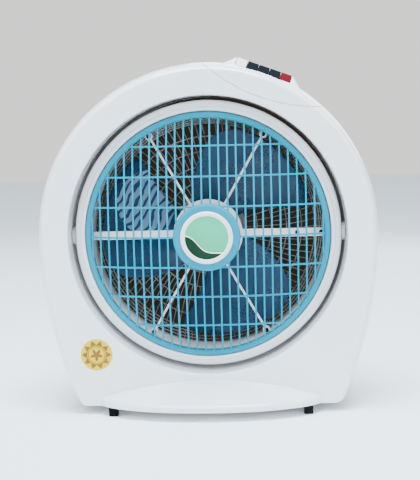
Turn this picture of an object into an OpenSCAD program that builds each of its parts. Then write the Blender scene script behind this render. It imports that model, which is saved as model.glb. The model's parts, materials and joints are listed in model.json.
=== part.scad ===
// Box fan. A horseshoe housing on four feet carries a drum that tilts on two side pivots.
// The drum holds the motor, the blades, a wire-like rear grille and a slowly turning louvre.
// X is to the right, -Y is the front and Z is up. The drum tilts about X at axis_h.

/* [Housing] */
// Radius of the round outline
body_r = 227; // [225:1:229]
// Radius of the side walls below the hub
side_r = 560; // [540:10:600]
// Height of the hub axis above the floor
axis_h = 236; // [234:1:240]
// Height of the rubber feet
foot_h = 9; // [8:0.5:11]
// Distance of the front face from the tilt axis
front_d = 43; // [42:0.5:44]
// Distance of the rear face from the tilt axis
rear_d = 90; // [90:1:94]
// How far the front edge rounds inward
front_round = 12; // [10:1:13]
// How far the rear edge rounds inward
rear_round = 17; // [14:1:18]
// Wall thickness of the mouldings
wall = 2.5; // [2:0.1:2.8]
// Radius of the round hole through the housing
hole_r = 183.5; // [183:0.1:184.5]

/* [Base] */
// Half the length of the lip in front of the base
lip_half_w = 146; // [140:1:148]
// Height of the lip where it meets the front face
lip_h = 32.5; // [28:0.5:34]
// Thickness of the lip at its front edge
lip_edge_h = 10; // [8:0.5:12]
// How far the lip's underside is above the top of the rear feet
lip_lift = 3; // [2:0.5:3]
// Distance of each foot from the middle
foot_x = 129; // [120:1:135]

/* [Controls] */
// Angle of the key pod from the top of the outline
pod_angle = 20; // [16:1:22]
// Distance of the pod's flat top from the hub axis
pod_top = 232; // [231:0.5:233]
// Pitch of the keys
key_pitch = 15.1; // [15:0.1:15.2]
// How far a key travels
key_travel = 4; // [3:0.5:4]

/* [Drum] */
// Outer radius of the drum
drum_r = 177.8; // [177:0.1:178.2]
// Radius inside the barrel
barrel_r = 157.5; // [156:0.5:158]
// Radius of each pivot pin
pin_r = 6; // [5:0.5:6.5]
// Running clearance of pins and shafts, on the radius
run_gap = 0.05; // [0.03:0.01:0.09]

/* [Louvre] */
// Outer radius of the louvre
louvre_r = 162.4; // [161.5:0.1:162.6]
// Width of the louvre's rim
rim_w = 8.5; // [7:0.5:9]
// Depth of the dome, from its rim to its middle
dome_d = 28; // [24:1:30]
// Pitch of the upright bars
bar_pitch = 11.3; // [11:0.1:12]
// Pitch of the level bars
rail_pitch = 39.4; // [38:0.1:40]
// Width of a bar
bar_w = 2.3; // [2:0.1:3]

/* [Blades] */
// Radius of the blade tips
tip_r = 144.5; // [138:0.5:146]
// Number of blades
blade_count = 3; // [3:1:4]

/* [Rear grille] */
// Number of ribs
rib_count = 60; // [48:6:90]
// Width of a rib
rib_w = 1.8; // [1.6:0.1:2.2]
// How far a rib turns about the hub on its way out
rib_sweep = 5; // [0:1:26]

/* [Hidden] */
$fn = 96;

sill_h = axis_h - foot_h;          // from the hub axis down to the underside
skin = 0.2;                        // half of a visible seam
collar_y = -13;                    // seam between the two shells inside the hole
seam_r = 220;                      // the control cover's seam is an arc of this radius
seam_v = 413;                      // distance of that arc's centre from the hub axis
seam_u = 8;                        // and its offset along the pod
screw_angles = [38, 100, 142, 208, 332];
screw_ring_r = 197;
corner_screw = [148, 205];         // the two screws in the base, from the hub axis
corner_r = 10;                     // rounding of the two lower corners
lip_reach = rear_d - front_d;      // the lip reaches as far forward as the rear face reaches back
slot_half_w = 38.2;
slot_y = [-30.6, -9.4];
pod_half_w = 39.6;                 // half the pod's flat top
pod_foot_half_w = 58;              // and half its length where it meets the outline
pod_slope = 10.5;                  // how far the pod falls at its front edge
pod_deep = pod_top - 18;           // the pod is solid down to here
key_w = 14.4;
key_y = [-30, -10];
key_foot = pod_top - 16.5;         // lowest point of a key, from the hub axis
key_guide = 3.5;                   // gap left under a key that is pressed home
switch_top = key_foot - key_travel - key_guide;
rim_y = [-26, -14];                // front and back of the louvre's rim
carrier_y = [-8, -3];
block_r = 166.1;                   // the pivot blocks reach forward beyond this radius
hub_y = -57;                       // front of the louvre's hub
grille_back_y = 84;
motor_r = 45;
shaft_r = 4;

// ---------- helpers ----------

// Cylinder along Y around the hub axis
module rod_y(y0, y1, r) translate([0, y0, axis_h]) rotate([-90, 0, 0]) cylinder(h = y1 - y0, r = r);

// Tube along Y around the hub axis
module tube_y(y0, y1, r_in, r_out) difference() {
    rod_y(y0, y1, r_out);
    rod_y(y0 - 1, y1 + 1, r_in);
}

// Turned shape around the hub axis, its outline given as radius and Y
module turned_y() translate([0, 0, axis_h]) rotate([-90, 0, 0]) rotate_extrude() children();

// Flat outline in X and Z around the hub axis, thick along Y
module plate_y(y0, y1) translate([0, y1, axis_h]) rotate([90, 0, 0]) linear_extrude(y1 - y0) children();

// Cylinder along X at the hub's height
module rod_x(x0, x1, r) translate([x0, 0, axis_h]) rotate([0, 90, 0]) cylinder(h = x1 - x0, r = r);

// Children turned about the hub axis, from the X axis towards Z
module turn(angle) translate([0, 0, axis_h]) rotate([0, -angle, 0]) translate([0, 0, -axis_h]) children();

// Small cylinder along Y at a polar place around the hub
module peg_y(angle, dist, y0, y1, r) translate([dist * cos(angle), 0, dist * sin(angle)]) rod_y(y0, y1, r);

// Pod frame: X runs along the pod, Z is the distance from the hub axis
module pod_frame() translate([0, 0, axis_h]) rotate([0, pod_angle, 0]) children();

// Outline of the housing in X and Z around the hub axis, drawn in by a distance
function outline_points(inset) =
    let (
        r = body_r - inset, rs = side_r - inset, low = sill_h - inset / 4,
        end = asin((low - corner_r) / (rs - corner_r)),
        corner_x = (rs - corner_r) * cos(end) - side_r + body_r,
        half = concat(
            [for (a = [90:-3:0]) [r * cos(a), r * sin(a)]],
            [for (i = [1:9]) [rs * cos(end * i / 9) - side_r + body_r, -rs * sin(end * i / 9)]],
            [for (i = [1:4]) let (a = end + (90 - end) * i / 4)
                [corner_x + corner_r * cos(a), corner_r - low - corner_r * sin(a)]])
    )
    concat(half, [for (i = [len(half) - 1:-1:1]) [-half[i][0], half[i][1]]]);

// Solid through a row of outlines, each given as [y, inset]
module loft(slices) {
    n = len(outline_points(0));
    last = len(slices) - 1;
    points = [for (s = slices) for (p = outline_points(s[1])) [p[0], s[0], p[1] + axis_h]];
    sides = [for (k = [0:last - 1]) for (i = [0:n - 1])
        let (j = (i + 1) % n, a = k * n, b = a + n) each [[a + i, b + j, a + j], [a + i, b + i, b + j]]];
    first_cap = [for (i = [0:n - 1]) i];
    last_cap = [for (i = [n - 1:-1:0]) last * n + i];
    polyhedron(points, concat([first_cap], sides, [last_cap]));
}

// Half of the housing from the seam to a face, with its elliptical edge
function half_slices(depth, round_in, inset) =
    [for (t = [0:15:90]) [depth * sin(t), inset + round_in * (1 - cos(t))]];

// ---------- housing ----------

module front_blank() difference() {
    mirror([0, 1, 0]) loft(half_slices(front_d, front_round, 0));
    mirror([0, 1, 0]) translate([0, -0.01, 0]) loft(half_slices(front_d - wall, front_round, wall));
    rod_y(-front_d - 1, 1, hole_r);
}

module seam_cut(r) pod_frame() translate([seam_u, 0, seam_v]) rotate([90, 0, 0]) cylinder(h = 2 * front_d, r = r, center = true);

module front_shell() color("white") difference() {
    union() {
        front_blank();
        tube_y(-front_d, collar_y - skin, hole_r, hole_r + wall);
        for (a = screw_angles) peg_y(a, screw_ring_r, -front_d + wall, 0, 4.5);
        for (x = [-corner_screw[0], corner_screw[0]])
            translate([x, 0, -corner_screw[1]]) rod_y(-front_d + wall, 0, 4.5);
    }
    seam_cut(seam_r + skin);
    for (a = screw_angles) peg_y(a, screw_ring_r, -16, 1, 1.8);
    for (x = [-corner_screw[0], corner_screw[0]]) translate([x, 0, -corner_screw[1]]) rod_y(-16, 1, 1.8);
}

// Raised block for the keys, from the front slope back to the seam
module pod_front() pod_frame() hull() {
    translate([-pod_foot_half_w, -36, pod_deep]) cube([2 * pod_foot_half_w, 36, 1]);
    translate([-pod_half_w, -32, pod_top - pod_slope]) cube([2 * pod_half_w, 32, 0.5]);
    translate([-pod_half_w, -14, pod_top - 0.5]) cube([2 * pod_half_w, 14, 0.5]);
}

module control_cover() color("white") difference() {
    union() {
        intersection() {
            front_blank();
            seam_cut(seam_r - skin);
        }
        pod_front();
        pod_frame() for (u = [-46, 40.5]) translate([u, -28, switch_top]) cube([5.5, 16, 8]);
    }
    pod_frame() translate([-slot_half_w, slot_y[0], pod_deep - 3])
        cube([2 * slot_half_w, slot_y[1] - slot_y[0], 30]);
}

module rear_shell() color("whitesmoke") difference() {
    union() {
        difference() {
            union() {
                loft(half_slices(rear_d, rear_round, 0));
                pod_frame() hull() {
                    translate([-pod_foot_half_w, 0, pod_deep]) cube([2 * pod_foot_half_w, 34, 1]);
                    translate([-pod_half_w, 0, pod_top - 0.5]) cube([2 * pod_half_w, 14, 0.5]);
                }
            }
            translate([0, -0.01, 0]) loft(half_slices(rear_d - wall, rear_round, wall));
        }
        tube_y(collar_y + skin, rear_d, hole_r, hole_r + wall);
        for (a = screw_angles) peg_y(a, screw_ring_r, 0, rear_d - 1, 6);
        for (x = [-corner_screw[0], corner_screw[0]]) translate([x, 0, -corner_screw[1]]) rod_y(0, rear_d - 1, 6);
    }
    rod_y(-50, rear_d + 1, hole_r);
    for (a = screw_angles) {
        peg_y(a, screw_ring_r, -1, rear_d + 1, 1.8);
        peg_y(a, screw_ring_r, 6, rear_d + 1, 4.2);
    }
    for (x = [-corner_screw[0], corner_screw[0]]) translate([x, 0, -corner_screw[1]]) {
        rod_y(-1, rear_d + 1, 1.8);
        rod_y(6, rear_d + 1, 4.2);
    }
    rod_x(-hole_r - 6, hole_r + 6, pin_r + 3);
    translate([90, 0, 36 - axis_h]) rod_y(rear_d - 5, rear_d + 1, 7);
}

// Section of the lip in Y and Z at a place along X: a crescent in plan that rises towards the face
function lip_section(x) =
    let (
        f = x / lip_half_w, reach = lip_reach * pow(1 - pow(abs(f), 2.2), 0.7), y = -front_d - reach,
        soft = min(3, reach / 3), low = foot_h + lip_lift, top = low + lip_edge_h
    ) [
        [x, -front_d, low], [x, y + soft, low], [x, y, low + 3], [x, y, top - 3],
        [x, y + soft, top], [x, -front_d, top + (lip_h - lip_edge_h) * (1 - f * f)]
    ];

module base_lip() color("white") {
    steps = 24;
    n = 6;
    points = [for (k = [0:steps]) for (p = lip_section(lip_half_w * sin(-84 + 168 * k / steps))) p];
    sides = [for (k = [0:steps - 1]) for (i = [0:n - 1])
        let (j = (i + 1) % n, a = k * n, b = a + n) each [[a + i, a + j, b + j], [a + i, b + j, b + i]]];
    polyhedron(points, concat([[for (i = [n - 1:-1:0]) i]], sides, [[for (i = [0:n - 1]) steps * n + i]]));
}

module foot_pair(y, depth, height) color([0.1, 0.1, 0.1]) for (x = [-foot_x, foot_x])
    translate([x, y, 0]) linear_extrude(height) offset_square(12, depth);

// Rectangle with its corners cut
module offset_square(w, d) polygon([
    for (s = [[1, 1], [-1, 1], [-1, -1], [1, -1]]) for (k = s[0] * s[1] > 0 ? [0, 1] : [1, 0])
        [s[0] * (w / 2 - 1.5 * k), s[1] * (d / 2 - 1.5 * (1 - k))]
]);

module shell_screw() {
    rod_y(6, 8.4, 3.8);
    rod_y(-14, 6, 1.8);
}

module shell_screws() color("silver") {
    for (a = screw_angles) translate([screw_ring_r * cos(a), 0, screw_ring_r * sin(a)]) shell_screw();
    for (x = [-corner_screw[0], corner_screw[0]]) translate([x, 0, -corner_screw[1]]) shell_screw();
}

module pivot_bush(side) color("gainsboro") mirror([side < 0 ? 1 : 0, 0, 0]) difference() {
    union() {
        rod_x(hole_r + 0.2, hole_r + 13, pin_r + 3);
        rod_x(hole_r + wall + 0.6, hole_r + wall + 3, pin_r + 7);
    }
    rod_x(hole_r - 1, hole_r + 14, pin_r + run_gap);
}

module key_switch() color("dimgray") pod_frame() difference() {
    translate([-46, -32, switch_top - 12]) cube([92, 26, 12]);
    for (i = [-2:2]) translate([i * key_pitch - 5, -27, switch_top - 3]) cube([10, 14, 4]);
}

module cord_gland() color([0.15, 0.15, 0.15]) translate([90, 0, 36 - axis_h]) difference() {
    union() {
        rod_y(rear_d - 6, rear_d, 7);
        rod_y(rear_d - 8, rear_d - wall - 0.01, 9);
    }
    rod_y(rear_d - 9, rear_d + 1, 3.6);
}

module run_capacitor() color([0.15, 0.15, 0.17]) translate([95, 14, foot_h + wall]) cube([37, 20, 27]);

// Wires from the switch round to the right pivot and down to the gland
module wire_harness() color("firebrick") translate([0, 0, axis_h]) rotate([90, 0, 0])
    rotate([0, 0, 9]) rotate_extrude(angle = 47) translate([212, 14]) circle(r = 2, $fn = 24);

module foil_seal() color("gold") translate([-150.4, 0, -155]) rod_y(-front_d - 0.3, -front_d, 21.5);

// ---------- drum ----------

module drum_bezel() color("white") difference() {
    turned_y() polygon([
        [163.6, -21.5], [168.6, -20.5], [169.4, -18.6], [174.5, -16.8], [177.2, -13.5], [drum_r, -9],
        [drum_r, 12], [drum_r - wall, 12], [drum_r - wall, -9], [173.4, -13.9], [168, -16.2],
        [166.1, -17], [166.1, -2], [160.5, -2], [160.5, -4.5], [163.6, -4.5]
    ]);
    rod_x(-drum_r - 1, drum_r + 1, pin_r);
}

module drum_barrel() color("white") difference() {
    union() {
        tube_y(-12, 40, barrel_r, barrel_r + wall);
        tube_y(37.5, 40, barrel_r, 163.5);
        tube_y(-2, 0, barrel_r, 166);
        for (side = [0, 1]) mirror([side, 0, 0]) {
            translate([barrel_r, -2, axis_h - 10]) cube([block_r - barrel_r, 12, 20]);
            translate([block_r, -10, axis_h - 10]) cube([drum_r - wall - 0.3 - block_r, 20, 20]);
        }
    }
    rod_x(-drum_r, drum_r, pin_r);
    rod_y(-20, 50, barrel_r);
}

module pivot_pin(side) color("gainsboro") mirror([side < 0 ? 1 : 0, 0, 0]) difference() {
    union() {
        rod_x(162, 198, pin_r);
        rod_x(drum_r + 0.05, hole_r - 0.9, 12);
    }
    rod_x(161, 199, 3);
}

// One rib of the rear grille: a slender strip that bends as it runs outward
module rib(r0, r1, sweep) {
    steps = 4;
    mid = [for (i = [0:steps]) let (f = i / steps, r = r0 + (r1 - r0) * f, a = sweep * f * f)
        [r * cos(a), r * sin(a), a]];
    polygon(concat(
        [for (p = mid) [p[0] - rib_w / 2 * sin(p[2]), p[1] + rib_w / 2 * cos(p[2])]],
        [for (i = [steps:-1:0]) let (p = mid[i]) [p[0] + rib_w / 2 * sin(p[2]), p[1] - rib_w / 2 * cos(p[2])]]
    ));
}

module rear_grille() color("lightgray") {
    difference() {
        union() {
            intersection() {
                plate_y(40, grille_back_y + 1) for (i = [0:rib_count - 1]) rotate(i * 360 / rib_count) rib(46, 164, rib_sweep);
                turned_y() polygon([[45, 82], [147, 82], [151, 79], [160, 41], [162, 41], [153, 80], [148, 84], [45, 84]]);
            }
            for (r = [66, 87, 108, 129]) turned_y() translate([r, 81.5]) square([2, 2.5]);
            for (k = [0:3]) turned_y() translate([149.5 + 2.2 * k, 76 - 9.5 * k]) square([2.2, 2]);
            turned_y() polygon([[157.5, 40.02], [163.5, 40.02], [163.5, 44], [158.5, 44]]);
            rod_y(82, grille_back_y, 50);
        }
        rod_y(80, 90, 6);
        for (a = [45:90:315]) peg_y(a, 36, 80, 90, 1.8);
    }
}

module louvre_carrier() color("white") difference() {
    union() {
        rod_y(carrier_y[0], carrier_y[1], 46.3);
        for (s = [0, 180]) turn(s) translate([44, carrier_y[0], axis_h - 5.5]) cube([barrel_r - 44.2, 3, 11]);
        for (a = [60, 120, 240, 300]) turn(a) {
            translate([44, -6, axis_h]) rotate([0, 90, 0]) cylinder(h = 106, r = 1.5);
            translate([151.5, 0, 0]) rod_y(-11, -2, 5);
        }
    }
    for (x = [119, 151]) translate([x, 0, 0]) rod_y(-12, 0, 1.6);
    for (a = [60, 120, 240, 300]) peg_y(a, 151.5, -12, 0, 1.6);
    for (a = [90, 270]) peg_y(a, 29, -12, 0, 1.6);
}

module carrier_screw(angle, dist, y, grip) {
    peg_y(angle, dist, y - 2, y, 3);
    peg_y(angle, dist, y, y + grip, 1.6);
}

module carrier_screws() color([0.1, 0.1, 0.1]) {
    for (x = [119, 151]) carrier_screw(0, x, carrier_y[0], 3);
    for (a = [60, 120, 240, 300]) carrier_screw(a, 151.5, -11, 9);
}

module louvre_motor() color("silver") {
    difference() {
        union() {
            rod_y(-29, carrier_y[0], 24.5);
            for (a = [90, 270]) turn(a) translate([20, -10, axis_h - 4]) cube([13, 2, 8]);
        }
        rod_y(-30, -8, 3.5 + run_gap);
        for (a = [90, 270]) peg_y(a, 29, -12, 0, 1.6);
    }
}

module motor_bell(y_flat, y_open) {
    lo = min(y_flat, y_open);
    hi = max(y_flat, y_open);
    in = y_flat < y_open ? y_flat + wall : y_flat - wall;
    difference() {
        rod_y(lo, hi, motor_r);
        rod_y(min(in, y_open) - (y_flat < y_open ? 0 : 1), max(in, y_open) + (y_flat < y_open ? 1 : 0), motor_r - wall);
        rod_y(lo - 1, hi + 1, 8);
    }
}

module motor_front_bell() color("silver") motor_bell(46, 64);

module motor_rear_bell() color("silver") difference() {
    motor_bell(82, 64);
    for (a = [45:90:315]) peg_y(a, 36, 78, 83, 1.8);
}

module stator() color("darkgoldenrod") difference() {
    rod_y(54, 75, motor_r - wall);
    rod_y(53, 76, 26);
    for (i = [0:7]) peg_y(i * 45 + 22.5, 34, 53, 76, 4.5);
}

module shaft_bearings() color("goldenrod") {
    tube_y(46, 52, shaft_r + run_gap, 8);
    tube_y(76.5, 82, shaft_r + run_gap, 8);
}

module motor_bonnet() color("gainsboro") difference() {
    turned_y() polygon([[0, 84], [50, 84], [49, 86.5], [44, 88.6], [0, 89.6]]);
    turned_y() polygon([[0, 83], [47, 83], [46.5, 85], [43, 86.6], [0, 87.6]]);
    for (i = [0:11]) turn(i * 30) translate([18, 80, axis_h - 1.5]) cube([20, 20, 3]);
}

module bonnet_screws() color("silver") for (a = [45:90:315]) {
    peg_y(a, 36, 84, 85.6, 3);
    peg_y(a, 36, 78.5, 84, 1.8);
}

// ---------- rotor ----------

// A point of a blade: f runs from root to tip, g from the trailing to the leading edge
function blade_point(f, g, lift) =
    let (
        r = 34 + (tip_r - 34) * f,
        corner = f > 0.8 ? 9 * pow((f - 0.8) / 0.2, 3) : 0,
        trail = 118 - 36 * f - corner,
        lead = 29 - 19 * f + corner,
        a = trail + (lead - trail) * g,
        bow = 5 * sin(180 * g) * f
    ) [r * cos(a), 9 + 31 * g - bow + lift, r * sin(a)];

module blade() {
    nf = 9;
    ng = 10;
    skin_points = [for (lift = [0, 1.8]) for (i = [0:nf]) for (j = [0:ng]) blade_point(i / nf, j / ng, lift)];
    function at(s, i, j) = s * (nf + 1) * (ng + 1) + i * (ng + 1) + j;
    function quad(a, b, c, d) = [[a, b, c], [a, c, d]];
    front = [for (i = [0:nf - 1]) for (j = [0:ng - 1]) each
        quad(at(0, i, j), at(0, i, j + 1), at(0, i + 1, j + 1), at(0, i + 1, j))];
    back = [for (i = [0:nf - 1]) for (j = [0:ng - 1]) each
        quad(at(1, i, j), at(1, i + 1, j), at(1, i + 1, j + 1), at(1, i, j + 1))];
    root_tip = [for (j = [0:ng - 1]) each concat(
        quad(at(0, 0, j), at(1, 0, j), at(1, 0, j + 1), at(0, 0, j + 1)),
        quad(at(0, nf, j), at(0, nf, j + 1), at(1, nf, j + 1), at(1, nf, j)))];
    edges = [for (i = [0:nf - 1]) each concat(
        quad(at(0, i, 0), at(0, i + 1, 0), at(1, i + 1, 0), at(1, i, 0)),
        quad(at(0, i, ng), at(1, i, ng), at(1, i + 1, ng), at(0, i + 1, ng)))];
    faces = concat(front, back, root_tip, edges);
    polyhedron(skin_points, [for (f = faces) [f[0], f[2], f[1]]]);
}

module fan_blades() color([0.25, 0.5, 0.75, 0.6]) {
    difference() {
        union() {
            turned_y() polygon([[0, 7], [30, 7], [35, 10], [36.5, 16], [36.5, 42], [0, 42]]);
            for (i = [0:blade_count - 1]) turn(i * 360 / blade_count) translate([0, 0, axis_h]) blade();
        }
        difference() {
            rod_y(20, 43, 34);
            rod_y(19, 42, 10);
        }
        rod_y(0, 50, shaft_r);
    }
}

module motor_shaft() color("silver") rod_y(1, 80, shaft_r);

module rotor_core() color("slategray") tube_y(54, 75, shaft_r, 25.4);

module blade_nut() color("steelblue") difference() {
    turned_y() polygon([[0, 0], [9, 0.5], [12, 3], [12.5, 6.9], [0, 6.9]]);
    rod_y(0.99, 8, shaft_r);
}

// ---------- louvre ----------

// Front surface of the dome at a radius
function dome_y(r) = rim_y[0] - dome_d * (1 - pow(r / 156, 2.5));

module bar_grid() {
    inner = louvre_r - rim_w + 2;
    intersection() {
        circle(r = inner);
        union() {
            for (k = [-3:3]) translate([-inner, k * rail_pitch - bar_w / 2]) square([2 * inner, bar_w]);
            for (k = [-14:13]) translate([(k + 0.5) * bar_pitch - bar_w / 2, -inner]) square([bar_w, 2 * inner]);
        }
    }
}

module louvre_grille() color([0, 0.75, 0.9]) {
    steps = 7;
    radii = [for (i = [0:steps]) 158 * i / steps];
    difference() {
        union() {
            intersection() {
                plate_y(-62, -10) bar_grid();
                turned_y() polygon(concat(
                    [for (r = radii) [r, dome_y(min(r, 156))]],
                    [for (i = [steps:-1:0]) [radii[i], dome_y(min(radii[i], 156)) + 3.2]]));
            }
            turned_y() polygon([
                [louvre_r - rim_w, rim_y[0] + 1.5], [louvre_r - rim_w + 1.5, rim_y[0]],
                [louvre_r - 2, rim_y[0]], [louvre_r, rim_y[0] + 2], [louvre_r, rim_y[1]],
                [louvre_r - 2, rim_y[1]], [louvre_r - rim_w, rim_y[1] - 5]]);
            turned_y() polygon([[0, hub_y], [42, hub_y], [44, hub_y + 2], [44, -48], [0, -48]]);
        }
        rod_y(-53, -40, 4.5);
        rod_y(hub_y - 1, hub_y + 1.5, 34.2);
    }
}

module hub_ring() color("white") turned_y() polygon([
    [28.2, hub_y + 1.5], [34.2, hub_y + 1.5], [34.2, hub_y - 1.5], [32.5, hub_y - 3.2], [29.8, hub_y - 3.2],
    [28.2, hub_y - 2]]);

module hub_label() color("aquamarine") turned_y() polygon([
    [0, hub_y + 1.5], [28.2, hub_y + 1.5], [28.2, hub_y - 2], [14, hub_y - 3], [0, hub_y - 3.3]]);

module louvre_coupling() color("white") {
    rod_y(-53, -44, 4.5);
    rod_y(-44, -18, 3.5);
}

// ---------- keys ----------

// A key: index counts from the pod's middle, slope_foot is where its front slope starts
module key(index, slope_foot) pod_frame() translate([index * key_pitch + key_w / 2, 0, 0])
    rotate([0, -90, 0]) linear_extrude(key_w) polygon([
        [key_foot, key_y[0]], [key_foot, key_y[1]], [pod_top + 0.2, key_y[1]],
        [pod_top + 1.4, key_y[1] - 3], [slope_foot, key_y[0]]]);

front_shell();
rear_shell();
control_cover();
base_lip();
foot_pair(-front_d - 6, 12, foot_h + lip_lift);  // front_feet
foot_pair(70, 16, foot_h + 1.2);  // rear_feet
shell_screws();
pivot_bush(-1);  // pivot_bush_left
pivot_bush(1);  // pivot_bush_right
key_switch();
cord_gland();
run_capacitor();
wire_harness();
foil_seal();
drum_bezel();
drum_barrel();
rear_grille();
pivot_pin(-1);  // pivot_pin_left
pivot_pin(1);  // pivot_pin_right
louvre_carrier();
carrier_screws();
louvre_motor();
motor_front_bell();
motor_rear_bell();
stator();
shaft_bearings();
motor_bonnet();
bonnet_screws();
fan_blades();
motor_shaft();
rotor_core();
blade_nut();
louvre_grille();
hub_ring();
hub_label();
louvre_coupling();
color("mistyrose") key(-2, pod_top - 9);  // key_louvre
color([0.14, 0.15, 0.17]) key(-1, pod_top - 8.5);  // key_high
color([0.14, 0.15, 0.17]) key(0, pod_top - 8.5);  // key_medium
color([0.14, 0.15, 0.17]) key(1, pod_top - 8.5);  // key_low
color("firebrick") key(2, pod_top - 10.5);  // key_off
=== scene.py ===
"""Looks of the box fan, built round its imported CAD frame. Metres, +Z up, -Y is the front."""
import json
import math

import bmesh
import bpy
from mathutils import Matrix, Vector


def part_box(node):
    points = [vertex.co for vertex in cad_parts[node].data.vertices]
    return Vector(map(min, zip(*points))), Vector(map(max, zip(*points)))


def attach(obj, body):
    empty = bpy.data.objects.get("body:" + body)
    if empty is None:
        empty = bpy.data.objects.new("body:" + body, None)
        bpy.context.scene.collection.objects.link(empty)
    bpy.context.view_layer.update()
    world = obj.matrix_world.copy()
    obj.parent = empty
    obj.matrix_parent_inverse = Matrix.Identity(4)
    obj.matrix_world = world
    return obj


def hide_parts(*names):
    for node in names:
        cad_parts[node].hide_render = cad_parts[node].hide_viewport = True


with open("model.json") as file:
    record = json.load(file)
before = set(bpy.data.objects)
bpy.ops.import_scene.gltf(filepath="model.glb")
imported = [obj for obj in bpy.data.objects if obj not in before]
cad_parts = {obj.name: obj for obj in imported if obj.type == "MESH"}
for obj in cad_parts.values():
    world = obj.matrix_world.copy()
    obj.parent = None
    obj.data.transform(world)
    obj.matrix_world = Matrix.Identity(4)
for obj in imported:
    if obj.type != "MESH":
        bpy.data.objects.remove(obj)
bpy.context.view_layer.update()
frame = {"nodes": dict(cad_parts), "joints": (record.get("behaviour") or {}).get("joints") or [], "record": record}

MM = 0.001
nodes = frame["nodes"]


def joint_place(name):
    """Where a joint's axis passes, in the row frame."""
    for joint in frame["joints"]:
        if joint["name"] == name:
            return Vector(joint["pos_m"])
    raise KeyError(name)


HUB = joint_place("fan_spin")


# ---------- camera, floor and light ----------

def make_camera():
    """A long lens in front, a little above the hub and to the right, rolled slightly."""
    data = bpy.data.cameras.new("camera")
    cam = bpy.data.objects.new("camera", data)
    bpy.context.collection.objects.link(cam)
    data.lens = 79.0
    data.sensor_width = 36.0
    data.clip_end = 50.0
    yaw, pitch, roll = (math.radians(a) for a in (-2.32, 6.36, -1.34))
    stand = HUB + Vector((0.0591, -1.4089, 0.1479))
    forward = Vector((math.sin(yaw) * math.cos(pitch), math.cos(yaw) * math.cos(pitch), -math.sin(pitch)))
    level = Vector((math.cos(yaw), -math.sin(yaw), 0.0))
    upright = level.cross(forward)
    right = level * math.cos(roll) + upright * math.sin(roll)
    up = upright * math.cos(roll) - level * math.sin(roll)
    turn = Matrix((right, up, -forward)).transposed()
    cam.matrix_world = Matrix.Translation(stand) @ turn.to_4x4()
    bpy.context.scene.camera = cam


def area_light(name, place, size, power, colour=(1, 1, 1)):
    """A rectangular lamp that looks at the hub; size in metres, power in watts."""
    data = bpy.data.lights.new(name, "AREA")
    data.shape = "RECTANGLE"
    data.size, data.size_y = size
    data.energy = power
    data.color = colour
    lamp = bpy.data.objects.new(name, data)
    lamp.location = place
    lamp.rotation_euler = (HUB - Vector(place)).to_track_quat("-Z", "Y").to_euler()
    bpy.context.collection.objects.link(lamp)


def make_lights():
    """A pale surround that is bluer overhead, and four large soft lamps."""
    world = bpy.data.worlds.new("studio")
    world.use_nodes = True
    tree = world.node_tree
    place = tree.nodes.new("ShaderNodeTexCoord")
    split = tree.nodes.new("ShaderNodeSeparateXYZ")
    tree.links.new(place.outputs["Generated"], split.inputs[0])
    shade = ramp(tree, split.outputs["Z"], [(0.12, (1.0, 0.99, 0.975)), (0.75, (0.74, 0.88, 1.0))])
    back = tree.nodes["Background"]
    tree.links.new(shade, back.inputs[0])
    back.inputs[1].default_value = 1.25
    bpy.context.scene.world = world
    area_light("key", (-1.0, -1.7, 1.6), (1.2, 0.9), 26)
    area_light("fill", (1.5, -1.3, 0.7), (1.0, 1.2), 8)
    area_light("top", (0.0, -0.35, 2.1), (1.4, 1.0), 150, (0.72, 0.87, 1.0))
    area_light("back", (0.5, 1.8, 1.0), (1.4, 1.0), 14)


def make_floor():
    mesh = bpy.data.meshes.new("floor")
    half = 6.0
    corners = [(-half, -half, 0), (half, -half, 0), (half, half, 0), (-half, half, 0)]
    mesh.from_pydata(corners, [], [(0, 1, 2, 3)])
    floor = bpy.data.objects.new("floor", mesh)
    bpy.context.collection.objects.link(floor)
    mat, tree, shader = blank_material("floor_paint")
    add_colour_noise(tree, shader, (0.93, 0.94, 0.95), (0.96, 0.965, 0.97), 2.0)
    shader.inputs["Roughness"].default_value = 0.8
    mesh.materials.append(mat)


def make_backdrop():
    """A round dark card just behind the rear face; its dim brown glow is painted shade, fixed and not lit by the
    lamps. It is seen only through the fan, from the front.
    """
    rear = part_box("rear_shell")[1][1]
    radius, gap, count = 0.186, 0.004, 96
    mesh = bpy.data.meshes.new("backdrop")
    turns = [2 * math.pi * i / count for i in range(count)]
    ring = [(radius * math.cos(a), rear + gap, HUB.z + radius * math.sin(a)) for a in turns]
    mesh.from_pydata(ring, [], [list(range(count))])
    card = bpy.data.objects.new("backdrop", mesh)
    bpy.context.collection.objects.link(card)
    card.visible_shadow = False
    mat = bpy.data.materials.new("backdrop_painted_shade")
    mat.use_nodes = True
    tree = mat.node_tree
    tree.nodes.clear()
    out = tree.nodes.new("ShaderNodeOutputMaterial")
    mix = tree.nodes.new("ShaderNodeMixShader")
    painted_dark_glow = tree.nodes.new("ShaderNodeEmission")
    clear = tree.nodes.new("ShaderNodeBsdfTransparent")
    geo = tree.nodes.new("ShaderNodeNewGeometry")
    # Painted shade: a fixed dim brown glow, the same under any lamp; the back face is left clear.
    painted_dark_glow.inputs[0].default_value = (0.030, 0.022, 0.015, 1)
    tree.links.new(geo.outputs["Backfacing"], mix.inputs[0])
    tree.links.new(painted_dark_glow.outputs[0], mix.inputs[1])
    tree.links.new(clear.outputs[0], mix.inputs[2])
    tree.links.new(mix.outputs[0], out.inputs[0])
    mesh.materials.append(mat)


# ---------- materials ----------

def blank_material(name):
    mat = bpy.data.materials.new(name)
    mat.use_nodes = True
    return mat, mat.node_tree, mat.node_tree.nodes["Principled BSDF"]


def object_point(tree, scale):
    """Object coordinates in metres times a scale, for textures that stay put on the piece."""
    place = tree.nodes.new("ShaderNodeTexCoord")
    grow = tree.nodes.new("ShaderNodeVectorMath")
    grow.operation = "SCALE"
    grow.inputs["Scale"].default_value = scale
    tree.links.new(place.outputs["Object"], grow.inputs[0])
    return grow.outputs[0]


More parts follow.
